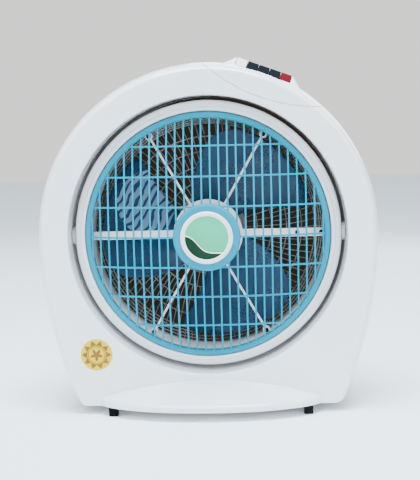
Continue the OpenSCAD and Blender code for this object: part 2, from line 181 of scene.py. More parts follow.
def object_sockets(tree):
    """X, Y and Z of the object coordinates, in millimetres."""
    split = tree.nodes.new("ShaderNodeSeparateXYZ")
    tree.links.new(object_point(tree, 1 / MM), split.inputs[0])
    return split.outputs


def maths(tree, how, *values):
    """A maths node; each value is a socket or a plain number."""
    node = tree.nodes.new("ShaderNodeMath")
    node.operation = how
    for slot, value in zip(node.inputs, values):
        if isinstance(value, (int, float)):
            slot.default_value = value
        else:
            tree.links.new(value, slot)
    return node.outputs[0]


def noise(tree, scale, detail=3.0):
    node = tree.nodes.new("ShaderNodeTexNoise")
    node.inputs["Scale"].default_value = 1.0
    node.inputs["Detail"].default_value = detail
    tree.links.new(object_point(tree, scale), node.inputs["Vector"])
    return node.outputs["Fac"]


def ramp(tree, source, stops):
    node = tree.nodes.new("ShaderNodeValToRGB")
    while len(node.color_ramp.elements) < len(stops):
        node.color_ramp.elements.new(0.5)
    for element, (place, colour) in zip(node.color_ramp.elements, stops):
        element.position = place
        element.color = (*colour, 1)
    tree.links.new(source, node.inputs[0])
    return node.outputs["Color"]


def add_colour_noise(tree, shader, low, high, scale):
    tree.links.new(ramp(tree, noise(tree, scale), [(0.35, low), (0.65, high)]), shader.inputs["Base Color"])


def add_roughness(tree, shader, low, high, scale):
    node = tree.nodes.new("ShaderNodeMapRange")
    node.inputs["To Min"].default_value = low
    node.inputs["To Max"].default_value = high
    tree.links.new(noise(tree, scale, 5.0), node.inputs["Value"])
    tree.links.new(node.outputs[0], shader.inputs["Roughness"])


def add_bump(tree, shader, source, height, strength=0.4):
    node = tree.nodes.new("ShaderNodeBump")
    node.inputs["Strength"].default_value = strength
    node.inputs["Distance"].default_value = height
    tree.links.new(source, node.inputs["Height"])
    tree.links.new(node.outputs[0], shader.inputs["Normal"])


def plastic(name, low, high, rough, grain=900.0, height=0.00004, coat=0.0, shine=0.5):
    """Moulded plastic: slow drifts of colour, patchy gloss and a fine skin."""
    mat, tree, shader = blank_material(name)
    add_colour_noise(tree, shader, low, high, 9.0)
    add_roughness(tree, shader, rough * 0.85, rough * 1.2, 40.0)
    add_bump(tree, shader, noise(tree, grain, 2.0), height, 0.25)
    shader.inputs["Specular IOR Level"].default_value = shine
    shader.inputs["Coat Weight"].default_value = coat
    shader.inputs["Coat Roughness"].default_value = 0.08
    return mat


def metal(name, low, high, rough, grain=600.0):
    mat, tree, shader = blank_material(name)
    add_colour_noise(tree, shader, low, high, 60.0)
    add_roughness(tree, shader, rough * 0.7, rough * 1.3, 250.0)
    add_bump(tree, shader, noise(tree, grain, 4.0), 0.00006, 0.3)
    shader.inputs["Metallic"].default_value = 1.0
    return mat


def blade_material():
    """Tinted see-through plastic, with a painted reflection: pale wavy streaks drawn in one patch, at the left
    when at rest.
    """
    patch_x, patch_z, half_wide, half_tall = -84.0, 42.0, 42.0, 46.0
    waviness, spacing, cover = 26.0, 0.78, -0.35
    mat, tree, shader = blank_material("blade_blue")
    place = object_sockets(tree)
    x = maths(tree, "SUBTRACT", place["X"], patch_x)
    z = maths(tree, "SUBTRACT", place["Z"], HUB.z / MM + patch_z)
    ripple = maths(tree, "MULTIPLY", maths(tree, "SUBTRACT", noise(tree, 22.0, 2.0), 0.5), waviness)
    lean = maths(tree, "ADD", maths(tree, "MULTIPLY", x, 0.62), maths(tree, "MULTIPLY", z, -0.55))
    reflection_streak = maths(tree, "SINE", maths(tree, "MULTIPLY", maths(tree, "ADD", lean, ripple), spacing))
    across = maths(tree, "POWER", maths(tree, "DIVIDE", x, half_wide), 2.0)
    upward = maths(tree, "POWER", maths(tree, "DIVIDE", z, half_tall), 2.0)
    far = maths(tree, "SQRT", maths(tree, "ADD", across, upward))
    ragged = maths(tree, "ADD", far, maths(tree, "MULTIPLY", ripple, 0.02))
    inside = maths(tree, "LESS_THAN", ragged, 0.95)
    # Mask of the painted reflection: the pale streaks inside the patch.
    front = maths(tree, "MULTIPLY", inside, maths(tree, "GREATER_THAN", reflection_streak, cover))
    body = ramp(tree, noise(tree, 14.0), [(0.35, (0.003, 0.033, 0.075)), (0.65, (0.005, 0.045, 0.100))])
    mix = tree.nodes.new("ShaderNodeMix")
    mix.data_type = "RGBA"
    tree.links.new(maths(tree, "MULTIPLY", front, 0.8), mix.inputs["Factor"])
    tree.links.new(body, mix.inputs[6])
    # Pale blue of the painted reflection streaks, mixed over the blade's own tint.
    mix.inputs[7].default_value = (0.20, 0.33, 0.52, 1)
    tree.links.new(mix.outputs[2], shader.inputs["Base Color"])
    add_roughness(tree, shader, 0.22, 0.34, 30.0)
    add_bump(tree, shader, noise(tree, 22.0, 2.0), 0.0012, 0.3)
    shader.inputs["Alpha"].default_value = 0.88
    shader.inputs["Specular IOR Level"].default_value = 0.3
    return mat


def label_material():
    """Printed label: mint, with a dark green wave below and a white line between them. No lettering."""
    wave_x, wave_z, wave_half, steepness = -12.0, -8.0, 12.0, 0.10
    green_low, green, white = (0.0, 0.018, 0.005), (0.0, 0.030, 0.009), (0.75, 0.84, 0.78)
    mint, mint_high = (0.03, 0.41, 0.21), (0.04, 0.46, 0.26)
    mat, tree, shader = blank_material("label_mint")
    place = object_sockets(tree)
    z = maths(tree, "SUBTRACT", place["Z"], HUB.z / MM)
    run = maths(tree, "MULTIPLY", maths(tree, "SUBTRACT", place["X"], wave_x), steepness)
    fall = maths(tree, "MULTIPLY", maths(tree, "TANH", run), wave_half)
    above = maths(tree, "SUBTRACT", z, maths(tree, "SUBTRACT", wave_z, fall))
    colour = ramp(tree, maths(tree, "MULTIPLY_ADD", above, 0.02, 0.5), [
        (0.0, green_low), (0.482, green), (0.492, white), (0.512, white), (0.522, mint), (1.0, mint_high)])
    tree.links.new(colour, shader.inputs["Base Color"])
    add_roughness(tree, shader, 0.10, 0.20, 60.0)
    add_bump(tree, shader, noise(tree, 700.0, 2.0), 0.00003, 0.2)
    shader.inputs["Specular IOR Level"].default_value = 0.15
    return mat


def seal_material():
    """Stamped gold foil, embossed: a ring of points and a thin ring round a star-like middle."""
    points, point_low, point_reach, point_high = 5.0, 12.5, 13.0, 19.5
    ring_r, ring_half, star_r, star_wave = 11.2, 0.5, 6.0, 2.4
    low, high = (Vector(corner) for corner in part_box("foil_seal"))
    middle = (low + high) / 2 / MM
    mat, tree, shader = blank_material("gold_foil")
    place = object_sockets(tree)
    x = maths(tree, "SUBTRACT", place["X"], middle.x)
    z = maths(tree, "SUBTRACT", place["Z"], middle.z)
    squares = maths(tree, "ADD", maths(tree, "MULTIPLY", x, x), maths(tree, "MULTIPLY", z, z))
    radius = maths(tree, "SQRT", squares)
    angle = maths(tree, "ARCTAN2", z, x)
    teeth = maths(tree, "PINGPONG", maths(tree, "MULTIPLY", angle, points / math.pi), 0.5)
    tips = maths(tree, "ADD", radius, maths(tree, "MULTIPLY", teeth, point_reach))
    rays = maths(tree, "LESS_THAN", tips, point_high)
    rays = maths(tree, "MULTIPLY", rays, maths(tree, "GREATER_THAN", radius, point_low))
    ring = maths(tree, "COMPARE", radius, ring_r, ring_half)
    star = maths(tree, "MULTIPLY", maths(tree, "SINE", maths(tree, "MULTIPLY", angle, points)), star_wave)
    inside = maths(tree, "LESS_THAN", maths(tree, "ADD", radius, star), star_r)
    relief = maths(tree, "ADD", maths(tree, "ADD", rays, ring), inside)
    stamped = maths(tree, "MULTIPLY", relief, 0.62)
    worn = maths(tree, "MULTIPLY_ADD", noise(tree, 260.0, 4.0), 0.55, stamped)
    colour = ramp(tree, worn, [
        (0.25, (0.70, 0.47, 0.0)), (0.5, (0.50, 0.29, 0.0)), (0.85, (0.20, 0.10, 0.01))])
    tree.links.new(colour, shader.inputs["Base Color"])
    add_roughness(tree, shader, 0.3, 0.45, 200.0)
    add_bump(tree, shader, worn, 0.0002, 0.5)
    shader.inputs["Metallic"].default_value = 0.55
    return mat


def make_materials():
    """One material for each of the record's slots."""
    return {
        "white_gloss": plastic("white_gloss", (0.80, 0.815, 0.835), (0.84, 0.85, 0.865), 0.15, coat=0.35),
        "white_satin": plastic("white_satin", (0.76, 0.775, 0.79), (0.80, 0.81, 0.82), 0.24),
        "rear_white": plastic("rear_white", (0.72, 0.73, 0.735), (0.76, 0.77, 0.775), 0.38, 1600.0, 0.00012),
        "pivot_grey": plastic("pivot_grey", (0.42, 0.43, 0.44), (0.48, 0.49, 0.50), 0.3),
        "foot_rubber": plastic("foot_rubber", (0.003, 0.003, 0.004), (0.007, 0.007, 0.008), 0.65,
                               700.0, 0.0002, shine=0.05),
        "black_plastic": plastic("black_plastic", (0.008, 0.008, 0.010), (0.018, 0.018, 0.020), 0.42),
        "key_black": plastic("key_black", (0.0035, 0.0045, 0.007), (0.008, 0.010, 0.014), 0.34, shine=0.03),
        "key_red": plastic("key_red", (0.085, 0.001, 0.004), (0.14, 0.002, 0.007), 0.24, shine=0.09),
        "key_pale": plastic("key_pale", (0.74, 0.66, 0.68), (0.80, 0.73, 0.75), 0.25),
        "screw_steel": metal("screw_steel", (0.42, 0.43, 0.44), (0.58, 0.59, 0.60), 0.32),
        "screw_black": metal("screw_black", (0.008, 0.008, 0.010), (0.02, 0.02, 0.023), 0.4),
        "gold_foil": seal_material(),
        "grille_grey": plastic("grille_grey", (0.26, 0.255, 0.24), (0.33, 0.325, 0.31), 0.3),
        "motor_case": metal("motor_case", (0.40, 0.41, 0.42), (0.52, 0.53, 0.54), 0.42, 900.0),
        "lamination": metal("lamination", (0.18, 0.19, 0.20), (0.28, 0.29, 0.30), 0.4),
        "coil_stack": metal("coil_stack", (0.25, 0.10, 0.04), (0.40, 0.18, 0.06), 0.35),
        "bronze": metal("bronze", (0.38, 0.23, 0.10), (0.5, 0.33, 0.15), 0.38),
        "shaft_steel": metal("shaft_steel", (0.5, 0.51, 0.52), (0.62, 0.63, 0.64), 0.2),
        "wire_red": plastic("wire_red", (0.22, 0.006, 0.006), (0.3, 0.01, 0.01), 0.35),
        "blade_blue": blade_material(),
        "nut_blue": plastic("nut_blue", (0.004, 0.035, 0.09), (0.008, 0.05, 0.12), 0.25, shine=0.3),
        "louvre_cyan": plastic("louvre_cyan", (0.0, 0.215, 0.32), (0.0, 0.24, 0.35), 0.35, shine=0.02),
        "label_mint": label_material(),
    }


def dress_frame(materials):
    """Every CAD node takes the material of its slot."""
    for row in frame["record"]["subparts"]:
        mesh = nodes[row["node"]].data
        mesh.materials.clear()
        mesh.materials.append(materials[row["material_slot"]])


# ---------- mesh helpers ----------

MERGE_GAP = 0.000005
SLIVER = 0.000002


def blend(a, b, f):
    return a + (b - a) * f


def add_piece(name, mesh, material, body, stands_for, sharp=35.0):
    """Links a finished mesh as a piece that rides on a body and takes a slot's material."""
    tidy = bmesh.new()
    tidy.from_mesh(mesh)
    bmesh.ops.remove_doubles(tidy, verts=tidy.verts, dist=MERGE_GAP)
    bmesh.ops.dissolve_degenerate(tidy, edges=tidy.edges, dist=SLIVER)
    bmesh.ops.recalc_face_normals(tidy, faces=tidy.faces)
    tidy.to_mesh(mesh)
    tidy.free()
    mesh.shade_smooth()
    mesh.set_sharp_from_angle(angle=math.radians(sharp))
    piece = bpy.data.objects.new(name, mesh)
    bpy.context.collection.objects.link(piece)
    mesh.materials.clear()
    mesh.materials.append(materials[material])
    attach(piece, body)
    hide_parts(*stands_for)


def bmesh_done(name, shape):
    """A bmesh written out as a mesh, and let go."""
    mesh = bpy.data.meshes.new(name)
    shape.to_mesh(mesh)
    shape.free()
    return mesh


def mesh_from(name, verts, faces):
    mesh = bpy.data.meshes.new(name)
    mesh.from_pydata([tuple(v) for v in verts], [], faces)
    return mesh


def loops_mesh(name, loops, closed=False):
    """Quads between closed loops with the same number of points, as a tube, a ring or a capped solid."""
    count = len(loops[0])
    verts = [p for loop in loops for p in loop]
    faces = []
    last = len(loops) if closed else len(loops) - 1
    for k in range(last):
        a, b = k * count, (k + 1) % len(loops) * count
        faces += [(a + i, a + (i + 1) % count, b + (i + 1) % count, b + i) for i in range(count)]
    if not closed:
        faces.append(tuple(range(count)))
        faces.append(tuple((len(loops) - 1) * count + i for i in range(count)))
    return mesh_from(name, verts, faces)


def round_corners(points, radius, steps=4):
    """A closed outline with each corner eased. A point may carry its own radius as a third number."""
    out = []
    count = len(points)
    for i, point in enumerate(points):
        here = Vector(point[:2])
        back, ahead = Vector(points[i - 1][:2]) - here, Vector(points[(i + 1) % count][:2]) - here
        size = point[2] if len(point) > 2 else radius
        size = min(size, back.length * 0.45, ahead.length * 0.45)
        if size <= 0:
            out.append(here)
            continue
        start, end = here + back.normalized() * size, here + ahead.normalized() * size
        for k in range(steps + 1):
            f = k / steps
            out.append(start * (1 - f) ** 2 + here * 2 * f * (1 - f) + end * f ** 2)
    return out


def around(radius, y, angle):
    """A point at a radius around the hub axis, the angle counted from +X towards +Z, in millimetres."""
    return HUB + Vector((radius * math.cos(angle), y, radius * math.sin(angle))) * MM


def lathe(name, corners, ease, count):
    """Solid of revolution round the hub axis, from a closed outline of radius and Y in millimetres.
    Its corners are eased as round_corners says."""
    profile = [(p.x, p.y) for p in round_corners(corners, ease)]
    loops = []
    for i in range(count):
        angle = 2 * math.pi * i / count
        loops.append([around(max(r, 0.0), y, angle) for r, y in profile])
    return loops_mesh(name, loops, closed=True)


def sweep(name, path, radius, sides, closed=False):
    """Round wire along a path of points, its radius in metres."""
    loops = []
    count = len(path)
    for i, point in enumerate(path):
        ahead = path[(i + 1) % count] if closed or i < count - 1 else point
        back = path[i - 1] if closed or i > 0 else point
        along = (ahead - back).normalized()
        side = along.cross(Vector((0, 1, 0)))
        if side.length < 0.2:
            side = along.cross(Vector((0, 0, 1)))
        side.normalize()
        other = along.cross(side)
        loops.append([point + (side * math.cos(a) + other * math.sin(a)) * radius
                      for a in (2 * math.pi * k / sides for k in range(sides))])
    return loops_mesh(name, loops, closed=closed)


def join(name, meshes):
    """Several meshes as one."""
    whole = bmesh.new()
    for mesh in meshes:
        whole.from_mesh(mesh)
    return bmesh_done(name, whole)


def box_mesh(name, low, high, soft=0.0, turn=None):
    """Box with softened edges, in metres; turn is an optional matrix."""
    shape = bmesh.new()
    bmesh.ops.create_cube(shape, size=1.0)
    low, high = Vector(low), Vector(high)
    for v in shape.verts:
        v.co = Vector([blend(low[k], high[k], v.co[k] + 0.5) for k in range(3)])
    if soft:
        bmesh.ops.bevel(shape, geom=shape.edges, offset=soft, segments=3, profile=0.5, affect="EDGES")
    if turn:
        bmesh.ops.transform(shape, matrix=turn, verts=shape.verts)
    return bmesh_done(name, shape)


def cylinder(name, radius, length, sides, turn):
    """Solid cylinder, its radius and length in millimetres, along Z before it is turned and placed."""
    shape = bmesh.new()
    bmesh.ops.create_cone(shape, cap_ends=True, segments=sides, radius1=radius * MM, radius2=radius * MM,
                          depth=length * MM)
    bmesh.ops.transform(shape, matrix=turn, verts=shape.verts)
    return bmesh_done(name, shape)


def combine(mesh, other, how):
    """Boolean of two closed meshes: DIFFERENCE, UNION or INTERSECT."""
    a = bpy.data.objects.new("cut_a", mesh)
    b = bpy.data.objects.new("cut_b", other)
    for obj in (a, b):
        bpy.context.collection.objects.link(obj)
    step = a.modifiers.new("cut", "BOOLEAN")
    step.operation = how
    step.solver = "EXACT"
    step.object = b
    done = bpy.data.meshes.new_from_object(a.evaluated_get(bpy.context.evaluated_depsgraph_get()))
    for obj in (a, b):
        bpy.data.objects.remove(obj)
    return done


# ---------- housing ----------

def span(node):
    """Low and high corners of a CAD node's box in millimetres, from the hub."""
    low, high = (Vector(corner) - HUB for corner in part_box(node))
    return low / MM, high / MM


FACE_Y = span("front_shell")[0].y
REAR_Y = span("rear_shell")[1].y
BODY_R = span("front_shell")[1].x
SILL = -span("front_shell")[0].z
SIDE_R = 560.0
HOLE_R = 183.5
WALL = 2.5
CORNER_R = 10.0
FRONT_ROUND = 12.0
REAR_ROUND = 17.0
COLLAR_Y = -13.0
POD_ANGLE = math.radians(20)
POD_TOP = 232.0
POD_HALF = 39.6
POD_FOOT = 58.0
POD_HEIGHT = 18.0
SEAM_R = 220.0
SEAM_GAP = 0.25
SEAM_MIDDLE = Vector((8, 0, 413))
PIVOT_BORE_R = 9.0
LIE_DOWN = Matrix.Rotation(math.pi / 2, 4, "X")


def outline(inset):
    """The horseshoe outline in X and Z from the hub, drawn in by a distance: a half circle on top, sides
    of a wider arc, small corners and a flat sill."""
    side_steps, corner_steps, sill_steps = 16, 6, 12
    r, rs, low = BODY_R - inset, SIDE_R - inset, SILL - inset / 4
    end = math.asin((low - CORNER_R) / (rs - CORNER_R))
    corner_x = (rs - CORNER_R) * math.cos(end) - SIDE_R + BODY_R
    half = [(r * math.sin(a), r * math.cos(a)) for a in (math.radians(2 * i) for i in range(46))]
    sides = [end * i / side_steps for i in range(1, side_steps + 1)]
    half += [(rs * math.cos(a) - SIDE_R + BODY_R, -rs * math.sin(a)) for a in sides]
    for i in range(1, corner_steps + 1):
        a = blend(end, math.pi / 2, i / corner_steps)
        half.append((corner_x + CORNER_R * math.cos(a), CORNER_R - low - CORNER_R * math.sin(a)))
    flat = half[-1]
    half += [(flat[0] * (1 - i / sill_steps), flat[1]) for i in range(1, sill_steps)]
    return half + [(0.0, flat[1])] + [(-x, z) for x, z in reversed(half[1:])]


def outline_loop(inset, y):
    return [HUB + Vector((x, y, z)) * MM for x, z in outline(inset)]


def circle_loop(radius, y):
    """A circle with one point for each point of the outline, at the same angle."""
    return [around(radius, y, math.atan2(z, x)) for x, z in outline(0)]


def mid_loop(first, second, f):
    return [blend(a, b, f) for a, b in zip(first, second)]


def edge_loops(depth, round_in, inset, steps):
    """The elliptical edge of a shell, from a small groove at the seam to its face."""
    groove = 0.45
    land = 0.5 if depth > 0 else -0.5
    loops = [outline_loop(inset + groove, 0.0), outline_loop(inset, land)]
    for k in range(1, steps + 1):
        t = math.pi / 2 * k / steps
        loops.append(outline_loop(inset + round_in * (1 - math.cos(t)), depth * math.sin(t)))
    return loops


def shell_mesh(name, face_y, round_in, collar_y):
    """A shell with a round hole and a collar, closed all round."""
    inward = -1 if face_y < 0 else 1
    outer = edge_loops(face_y, round_in, 0.0, 16)
    rim = 2.4
    arc = []
    for k in range(6):
        a = math.pi / 2 * k / 5
        arc.append(circle_loop(HOLE_R + rim - rim * math.sin(a), face_y - inward * rim * (1 - math.cos(a))))
    face = [mid_loop(outer[-1], arc[0], f) for f in (0.04, 0.25, 0.5, 0.75, 0.96)]
    inner_y = face_y - inward * WALL
    collar = [circle_loop(HOLE_R, blend(face_y, collar_y, f)) for f in (0.3, 0.6, 1.0)]
    back = [circle_loop(HOLE_R + WALL, blend(collar_y, inner_y, f)) for f in (0.0, 0.5, 1.0)]
    inner = list(reversed(edge_loops(inner_y, round_in, WALL, 8)))
    return loops_mesh(name, outer + face + arc + collar + back + inner, closed=True)


def pod_place(u, y, v):
    """A point of the key pod: u along it, v out from the hub axis, in millimetres."""
    c, s = math.cos(POD_ANGLE), math.sin(POD_ANGLE)
    return HUB + Vector((u * c + v * s, y, v * c - u * s)) * MM


POD_TURN = Matrix.Translation(HUB) @ Matrix.Rotation(POD_ANGLE, 4, "Y")


def hull_mesh(name, points, soft):
    """Convex block round some points, with its edges softened."""
    shape = bmesh.new()
    for point in points:
        shape.verts.new(point)
    done = bmesh.ops.convex_hull(shape, input=shape.verts)
    loose = [v for v in done["geom_interior"] if isinstance(v, bmesh.types.BMVert)]
    bmesh.ops.delete(shape, geom=loose, context="VERTS")
    bmesh.ops.dissolve_limit(shape, angle_limit=0.02, verts=shape.verts, edges=shape.edges)
    bmesh.ops.bevel(shape, geom=shape.edges, offset=soft, segments=4, profile=0.5, affect="EDGES")
    return bmesh_done(name, shape)


def pod_mesh(name, y_front, y_back, slope):
    """The raised block for the keys; slope is how far its front edge lies below its top."""
    soft, ends = 0.0012, (-1, 1)
    low = POD_TOP - POD_HEIGHT
    points = [pod_place(u * POD_FOOT, y, low) for u in ends for y in (y_front, y_back)]
    if y_front < 0:
        points += [pod_place(u * POD_HALF, y, POD_TOP - slope) for u in ends for y in (-32, y_back)]
        points += [pod_place(u * POD_HALF, y, POD_TOP) for u in ends for y in (-14, y_back)]
    else:
        points += [pod_place(u * POD_HALF, y, POD_TOP) for u in ends for y in (0, 14)]
    return hull_mesh(name, points, soft)


def seam_cylinder(radius):
    """The round cutter that parts the control cover from the front shell."""
    turn = POD_TURN @ Matrix.Translation(SEAM_MIDDLE * MM) @ LIE_DOWN
    return cylinder("seam", radius, 120, 360, turn)


def make_front():
    """The front shell and the control cover, cut from one form on either side of the seam."""
    whole = shell_mesh("front", FACE_Y, FRONT_ROUND, COLLAR_Y - 0.2)
    shell = combine(whole, seam_cylinder(SEAM_R + SEAM_GAP), "DIFFERENCE")
    add_piece("front_shell_skin", shell, "white_gloss", "housing", ["front_shell"])
    cover = combine(whole, seam_cylinder(SEAM_R - SEAM_GAP), "INTERSECT")
    cover = combine(cover, pod_mesh("pod", -36, 0, 10.5), "UNION")
    slot_low = Vector((-38.2, -30.6, POD_TOP - 21)) * MM
    slot_high = Vector((38.2, -9.4, POD_TOP + 9)) * MM
    cover = combine(cover, box_mesh("slot", slot_low, slot_high, turn=POD_TURN), "DIFFERENCE")
    add_piece("control_cover_skin", cover, "white_gloss", "housing", ["control_cover"])


def well_mesh(x, z, radius, y0, y1):
    """A round plug along Y, for screw wells and bores."""
    turn = Matrix.Translation(HUB + Vector((x, (y0 + y1) / 2, z)) * MM) @ LIE_DOWN
    return cylinder("well", radius, y1 - y0, 40, turn)


def ring_spots(radius, y, angles):
    """Places round the hub axis, in millimetres from the hub, at angles in degrees."""
    turns = [math.radians(a) for a in angles]
    return [(radius * math.cos(a), y, radius * math.sin(a)) for a in turns]


SCREW_Y = 6
SHELL_SCREWS = ring_spots(197.0, SCREW_Y, (38, 100, 142, 208, 332))
SHELL_SCREWS += [(148.0, SCREW_Y, -205.0), (-148.0, SCREW_Y, -205.0)]
GLAND_X, GLAND_Z = 90.0, -200.0


def make_rear():
    """The rear shell, with screw wells, a recess for the cord gland and bores for the pivots."""
    shell = shell_mesh("rear", REAR_Y, REAR_ROUND, COLLAR_Y + 0.2)
    shell = combine(shell, pod_mesh("hump", 0, 34, 0), "UNION")
    inner = loops_mesh("inner", [outline_loop(WALL, -0.5), outline_loop(WALL, 30.0)])
    bore = well_mesh(0, 0, HOLE_R + WALL, -30, 60)
    inner = combine(inner, bore, "DIFFERENCE")
    shell = combine(shell, inner, "DIFFERENCE")
    for x, y, z in SHELL_SCREWS:
        shell = combine(shell, well_mesh(x, z, 6, y + 2, REAR_Y - 1), "UNION")
        shell = combine(shell, well_mesh(x, z, 4.2, y + 2.5, REAR_Y + 1), "DIFFERENCE")
    shell = combine(shell, well_mesh(GLAND_X, GLAND_Z, 7, REAR_Y - 5, REAR_Y + 1), "DIFFERENCE")
    across = Matrix.Translation(HUB) @ Matrix.Rotation(math.pi / 2, 4, "Y")
    bar = cylinder("pins", PIVOT_BORE_R, 2 * (HOLE_R + 6), 48, across)
    shell = combine(shell, bar, "DIFFERENCE")
    add_piece("rear_shell_skin", shell, "rear_white", "housing", ["rear_shell"])


def make_lip():
    """Crescent lip in front of the base, thin at its edge and rising to the face."""
    half, reach_out, foot, edge, height = 146.0, 47.0, 12.0, 10.0, 32.5
    steps, end_turn = 80, 84
    ground = HUB.z / MM
    loops = []
    for k in range(steps + 1):
        x = half * math.sin(math.radians(blend(-end_turn, end_turn, k / steps)))
        f = x / half
        y = FACE_Y - reach_out * (1 - abs(f) ** 2.2) ** 0.7
        top = foot + edge
        rise = (height - edge) * (1 - f * f)
        section = [(FACE_Y, foot, 0), (y, foot, 3.0), (y, top - 1.5, 5.0)]
        section += [(blend(y, FACE_Y, g), top + rise * g ** 1.5, 0) for g in (0.45, 0.6, 0.75, 0.88, 1.0)]
        loops.append([HUB + Vector((x, p.x, p.y - ground)) * MM for p in round_corners(section, 0.0, 6)])
    add_piece("base_lip_skin", loops_mesh("lip", loops), "white_gloss", "housing", ["base_lip"])


def make_feet():
    """A softened block for each foot."""
    half = 0.006
    for node in ("front_feet", "rear_feet"):
        low, high = (Vector(c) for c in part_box(node))
        pads = []
        for side in (-1, 1):
            x = side * (high.x - half)
            pad_low, pad_high = Vector((x - half, low.y, low.z)), Vector((x + half, high.y, high.z))
            pads.append(box_mesh("pad", pad_low, pad_high, 0.0012))
        add_piece(node + "_pads", join("pads", pads), "foot_rubber", "housing", [node])


# ---------- drum ----------

def make_bezel():
    """The stepped ring round the front of the drum."""
    profile = [(163.6, -21.5, 0.9), (168.6, -20.5, 1.2), (169.4, -18.6, 0.5), (174.5, -16.8, 1.0),
               (177.2, -13.5, 2.0), (177.8, -9, 1.5), (177.8, 12), (175.3, 12), (175.3, -9, 1.5),
               (173.4, -13.9, 1.5), (168, -16.2, 1.0), (166.1, -17), (166.1, -2), (160.5, -2),
               (160.5, -4.5), (163.6, -4.5)]
    add_piece("drum_bezel_skin", lathe("bezel", profile, 0.4, 240), "white_satin", "drum", ["drum_bezel"])


def make_rear_grille():
    """A basket of slender curved wires tied by rings, round a flat plate for the motor."""
    wire, tie, ribs, steps = 0.68, 1.0, 96, 14
    inner_r, second_r, outer_r, bend_r = 48.0, 87.0, 161.0, 146
    back_y, front_y, sweep_angle = 83.0, 42.0, math.radians(5)
    parts = []
    for i in range(ribs):
        turn = 2 * math.pi * i / ribs
        start = inner_r if i % 2 == 0 else second_r
        path = []
        for k in range(steps + 1):
            r = blend(start, outer_r, k / steps)
            y = back_y if r < bend_r else blend(back_y, front_y, (r - bend_r) / (outer_r - bend_r))
            path.append(around(r, y, turn + sweep_angle * ((r - 46) / 118.0) ** 2))
        parts.append(sweep("rib", path, wire * MM, 6))
    rings = [(r, back_y - 0.8) for r in (66, 87, 108, 129)]
    rings += [(147.6 + 2.7 * k, 76.5 - 7.4 * k) for k in range(5)]
    for r, y in rings:
        path = [around(r, y, 2 * math.pi * i / 144) for i in range(144)]
        parts.append(sweep("ring", path, tie * MM, 8, closed=True))
    parts.append(lathe("rim", [(157.5, 40.02), (163.5, 40.02), (163.5, 44), (158.5, 44)], 0.7, 180))
    parts.append(lathe("plate", [(6, 82), (50, 82), (50, 84), (6, 84)], 0.5, 96))
    wires = join("rear_grille_wires", parts)
    add_piece("rear_grille_wires", wires, "grille_grey", "drum", ["rear_grille"], 50)


# ---------- louvre ----------

LOUVRE_R = 162.4
RIM_Y = (-26.0, -14.0)
HUB_Y = -57.0
BAR_W = 2.3
DOME_R = 156.0
DOME_RISE = 28.0


def dome_y(r):
    """Where the bars lie at a distance from the hub axis."""
    return RIM_Y[0] - DOME_RISE * (1 - (min(r, DOME_R) / DOME_R) ** 2.5)


def louvre_bar(start, end, across, along, thick):
    """One bar over the dome, from a start to an end along its own axis, at a fixed place across."""
    soft, half, clear = 0.55, BAR_W / 2, 0.08
    count = max(int(abs(end - start) / 5), 2)
    loops = []
    for k in range(count + 1):
        t = blend(start, end, k / count)
        y = dome_y(math.hypot(t, across))
        ring = round_corners([(-half, 0), (half, 0), (half, thick), (-half, thick)], soft, 2)
        if along == "z":
            loops.append([HUB + Vector((across + p.x, y + p.y, t)) * MM for p in ring])
        else:
            loops.append([HUB + Vector((t, y + p.y + clear, across + p.x)) * MM for p in ring])
    return loops_mesh("bar", loops)


def make_bars():
    """The upright bars and the few level ones that cross them, cut out round the hub disc."""
    reach, core = 155.0, 43.0
    bars = []
    places = [("z", (k + 0.5) * 11.3) for k in range(-14, 14)] + [("x", k * 39.4) for k in range(-3, 4)]
    for along, across in places:
        if abs(across) >= reach - 1:
            continue
        end = math.sqrt(reach ** 2 - across ** 2)
        thick = 3.2 if along == "z" else 3.0
        if abs(across) < core - 2:
            start = math.sqrt(core ** 2 - across ** 2)
            bars.append(louvre_bar(start, end, across, along, thick))
            bars.append(louvre_bar(-end, -start, across, along, thick))
        else:
            bars.append(louvre_bar(-end, end, across, along, thick))
    return bars


def make_louvre():
    """The turning louvre with its rim and hub disc."""
    parts = make_bars()
    rim = [(LOUVRE_R - 8.5, RIM_Y[0] + 1.5, 1.2), (LOUVRE_R - 6.5, RIM_Y[0], 1.0),
           (LOUVRE_R - 2, RIM_Y[0], 1.4), (LOUVRE_R, RIM_Y[0] + 2, 1.4), (LOUVRE_R, RIM_Y[1], 0.8),
           (LOUVRE_R - 2, RIM_Y[1]), (LOUVRE_R - 8.5, RIM_Y[1] - 5, 0.8)]
    parts.append(lathe("rim", rim, 0.5, 240))
    disc = [(0, HUB_Y + 1.5, 0), (34.2, HUB_Y + 1.5, 0), (34.2, HUB_Y, 0.3), (42, HUB_Y, 1.5),
            (44, HUB_Y + 2.5, 1.5), (44, -48, 0.5), (4.5, -48, 0), (4.5, -53, 0), (0, -53, 0)]
    parts.append(lathe("disc", disc, 0.5, 160))
    grille = join("louvre_grille", parts)
    add_piece("louvre_grille_skin", grille, "louvre_cyan", "louvre", ["louvre_grille"])


def make_hub():
    """The white ring and the label at the middle of the louvre."""
    ring = [(28.2, HUB_Y + 1.5, 0), (34.2, HUB_Y + 1.5, 0), (34.2, HUB_Y - 1.5, 1.6),
            (32.5, HUB_Y - 3.2, 1.2), (29.8, HUB_Y - 3.2, 0.9), (28.2, HUB_Y - 2, 0.4)]
    add_piece("hub_ring_skin", lathe("ring", ring, 0.4, 144), "white_satin", "louvre", ["hub_ring"])
    label = [(0, HUB_Y + 1.5, 0), (28.2, HUB_Y + 1.5, 0), (28.2, HUB_Y - 2, 0.5), (21, HUB_Y - 2.5, 4),
             (14, HUB_Y - 3, 4), (0, HUB_Y - 3.3, 0)]
    add_piece("hub_label_skin", lathe("label", label, 0.4, 144), "label_mint", "louvre", ["hub_label"])


# ---------- blades ----------

BLADE_ROOT = 34
BLADE_REACH = 110.5


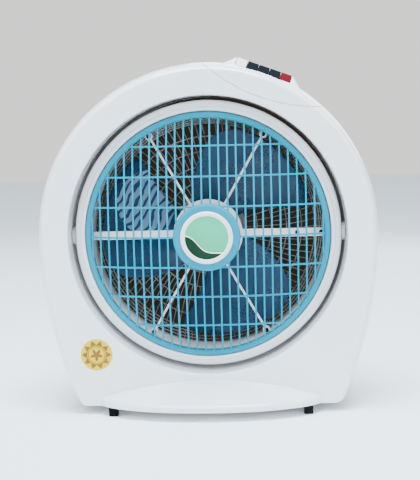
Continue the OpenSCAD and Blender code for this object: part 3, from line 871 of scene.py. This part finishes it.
def blade_point(f, g):
    """Radius, angle and Y on a blade's middle surface: f runs from root to tip, g from edge to edge."""
    r = BLADE_ROOT + BLADE_REACH * f
    corner = 9 * ((f - 0.8) / 0.2) ** 3 if f > 0.8 else 0
    trail, lead = 118 - 36 * f - corner, 29 - 19 * f + corner
    camber = 5 * math.sin(math.pi * g) * f
    return r, math.radians(blend(trail, lead, g)), 9 + 31 * g - camber + 0.9


def blade_ring(f, cols, base):
    """One closed section of a blade: its back from edge to edge, then its front again."""
    thick_half, thinning = 0.9, 2.2
    ring = []
    for side in (1, -1):
        for j in range(cols + 1):
            g = 0.5 - 0.5 * math.cos(math.pi * (j if side > 0 else cols - j) / cols)
            r, angle, y = blade_point(f, g)
            edge = min(min(g, 1 - g) * r * 1.5, (1 - f) * BLADE_REACH if f < 1 else 0)
            half = thick_half * min(1.0, edge / thinning) ** 0.5
            ring.append(around(r, y + side * half, base + angle))
    return ring


def make_blades():
    """Three broad curved blades on a cup, thin at every edge."""
    rows, cols = 30, 36
    parts = []
    for blade in range(3):
        base = 2 * math.pi * blade / 3
        loops = [blade_ring(math.sin(math.pi / 2 * i / rows), cols, base) for i in range(rows + 1)]
        parts.append(loops_mesh("blade", loops))
    cup = [(4, 7, 0), (30, 7, 2), (35, 10, 2), (36.5, 16, 2), (36.5, 42, 0.6), (34, 42, 0.6),
           (34, 20, 1), (10, 20, 1), (10, 42, 0.5), (4, 42, 0)]
    parts.append(lathe("cup", cup, 0.5, 120))
    add_piece("fan_blades_skin", join("fan_blades", parts), "blade_blue", "rotor", ["fan_blades"], 40)


# ---------- screws and small parts ----------

def screw_mesh(head_r, head_h, shank_r, length):
    """Pan-head screw with a cross recess. Its head faces -Y and rests on the origin."""
    axis_r, merge_gap = 0.01, 0.00003
    corners = [(axis_r, -head_h, 0), (head_r * 0.8, -head_h, head_h * 0.5),
               (head_r, -head_h * 0.35, head_h * 0.3), (head_r, 0, 0.1), (shank_r, 0, 0.1),
               (shank_r, length, 0.3), (axis_r, length, 0)]
    profile = [(p.x, p.y) for p in round_corners(corners, 0.1)]
    loops = [[Vector((r * math.cos(a), y, r * math.sin(a))) * MM for r, y in profile]
             for a in (2 * math.pi * i / 32 for i in range(32))]
    mesh = loops_mesh("screw", loops, closed=True)
    tidy = bmesh.new()
    tidy.from_mesh(mesh)
    bmesh.ops.remove_doubles(tidy, verts=tidy.verts, dist=merge_gap)
    bmesh.ops.recalc_face_normals(tidy, faces=tidy.faces)
    tidy.to_mesh(mesh)
    tidy.free()
    arm, wide = head_r * 0.58, head_r * 0.13
    for half in ((arm, wide), (wide, arm)):
        low = Vector((-half[0], -head_h - 1, -half[1])) * MM
        high = Vector((half[0], -head_h * 0.35, half[1])) * MM
        mesh = combine(mesh, box_mesh("cross", low, high), "DIFFERENCE")
    return mesh


def place_screws(name, template, spots, material, body, node, turn_back=False):
    """Copies of one screw at places in millimetres from the hub, each turned a little differently."""
    whole = bmesh.new()
    for i, spot in enumerate(spots):
        start = len(whole.verts)
        whole.from_mesh(template)
        whole.verts.ensure_lookup_table()
        turn = Matrix.Rotation(math.radians(37 * i + 12), 4, "Y")
        if turn_back:
            turn = Matrix.Rotation(math.pi, 4, "Z") @ turn
        place = Matrix.Translation(HUB + Vector(spot) * MM) @ turn
        bmesh.ops.transform(whole, matrix=place, verts=whole.verts[start:])
    add_piece(name, bmesh_done(name, whole), material, body, [node])


def make_screws():
    """The screws of the shells, of the louvre's carrier and of the motor's bonnet."""
    place_screws("shell_screw_set", screw_mesh(3.8, 2.4, 1.8, 20), SHELL_SCREWS, "screw_steel",
                 "housing", "shell_screws", True)
    carrier = [(119, -8, 0), (151, -8, 0)] + ring_spots(151.5, -11, (60, 120, 240, 300))
    place_screws("carrier_screw_set", screw_mesh(3.0, 2.0, 1.5, 3), carrier, "screw_black", "drum",
                 "carrier_screws")
    bonnet = ring_spots(36, 84, (45, 135, 225, 315))
    place_screws("bonnet_screw_set", screw_mesh(3.0, 1.6, 1.8, 5.5), bonnet, "screw_steel", "drum",
                 "bonnet_screws", True)


def make_seal():
    """Foil seal with a finely toothed edge."""
    low, high = (Vector(c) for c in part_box("foil_seal"))
    middle, radius = (low + high) / 2, (high.x - low.x) / 2
    teeth, steps, depth, step_in, step_back = 40, 4, 0.0007, 0.00012, 0.00008
    loops = []
    for y, shrink in ((high.y, 0.0), (low.y + step_back, 0.0), (low.y, step_in)):
        loop = []
        for i in range(teeth * steps):
            angle = 2 * math.pi * i / (teeth * steps)
            r = radius - shrink - depth * (0.5 - 0.5 * math.cos(2 * math.pi * i / steps))
            loop.append(Vector((middle.x + r * math.cos(angle), y, middle.z + r * math.sin(angle))))
        loops.append(loop)
    add_piece("foil_seal_skin", loops_mesh("seal", loops), "gold_foil", "housing", ["foil_seal"])


# Edge rounding in millimetres of the CAD nodes that are seen as they are.
SOFTENED = {"pivot_bush_left": 0.5, "pivot_bush_right": 0.5, "pivot_pin_left": 0.6, "pivot_pin_right": 0.6,
            "key_switch": 0.5, "cord_gland": 0.6, "run_capacitor": 1.5, "louvre_carrier": 0.4,
            "louvre_motor": 1.0, "motor_front_bell": 2.0, "motor_rear_bell": 2.0, "motor_bonnet": 0.3,
            "louvre_coupling": 0.4, "blade_nut": 0.4, "rotor_core": 0.3, "shaft_bearings": 0.3,
            "drum_barrel": 0.3, "stator": 0.4, "motor_shaft": 0.3, "key_louvre": 0.9, "key_high": 0.9,
            "key_medium": 0.9, "key_low": 0.9, "key_off": 0.9, "wire_harness": 0.0}


def soften_nodes():
    """Modifiers that weld the CAD nodes, dissolve their flat seams and round their edges."""
    for name, size in SOFTENED.items():
        node = nodes[name]
        node.modifiers.new("weld", "WELD").merge_threshold = 0.000003
        flat = node.modifiers.new("flat", "DECIMATE")
        flat.decimate_type = "DISSOLVE"
        flat.angle_limit = math.radians(0.6)
        if size:
            ease = node.modifiers.new("ease", "BEVEL")
            ease.width = size * MM
            ease.segments = 3
            ease.limit_method = "ANGLE"
            ease.angle_limit = math.radians(32)
            ease.harden_normals = True


materials = make_materials()
make_camera()
make_lights()
make_floor()
make_backdrop()
dress_frame(materials)
soften_nodes()
make_front()
make_rear()
make_lip()
make_feet()
make_bezel()
make_rear_grille()
make_louvre()
make_hub()
make_blades()
make_screws()
make_seal()
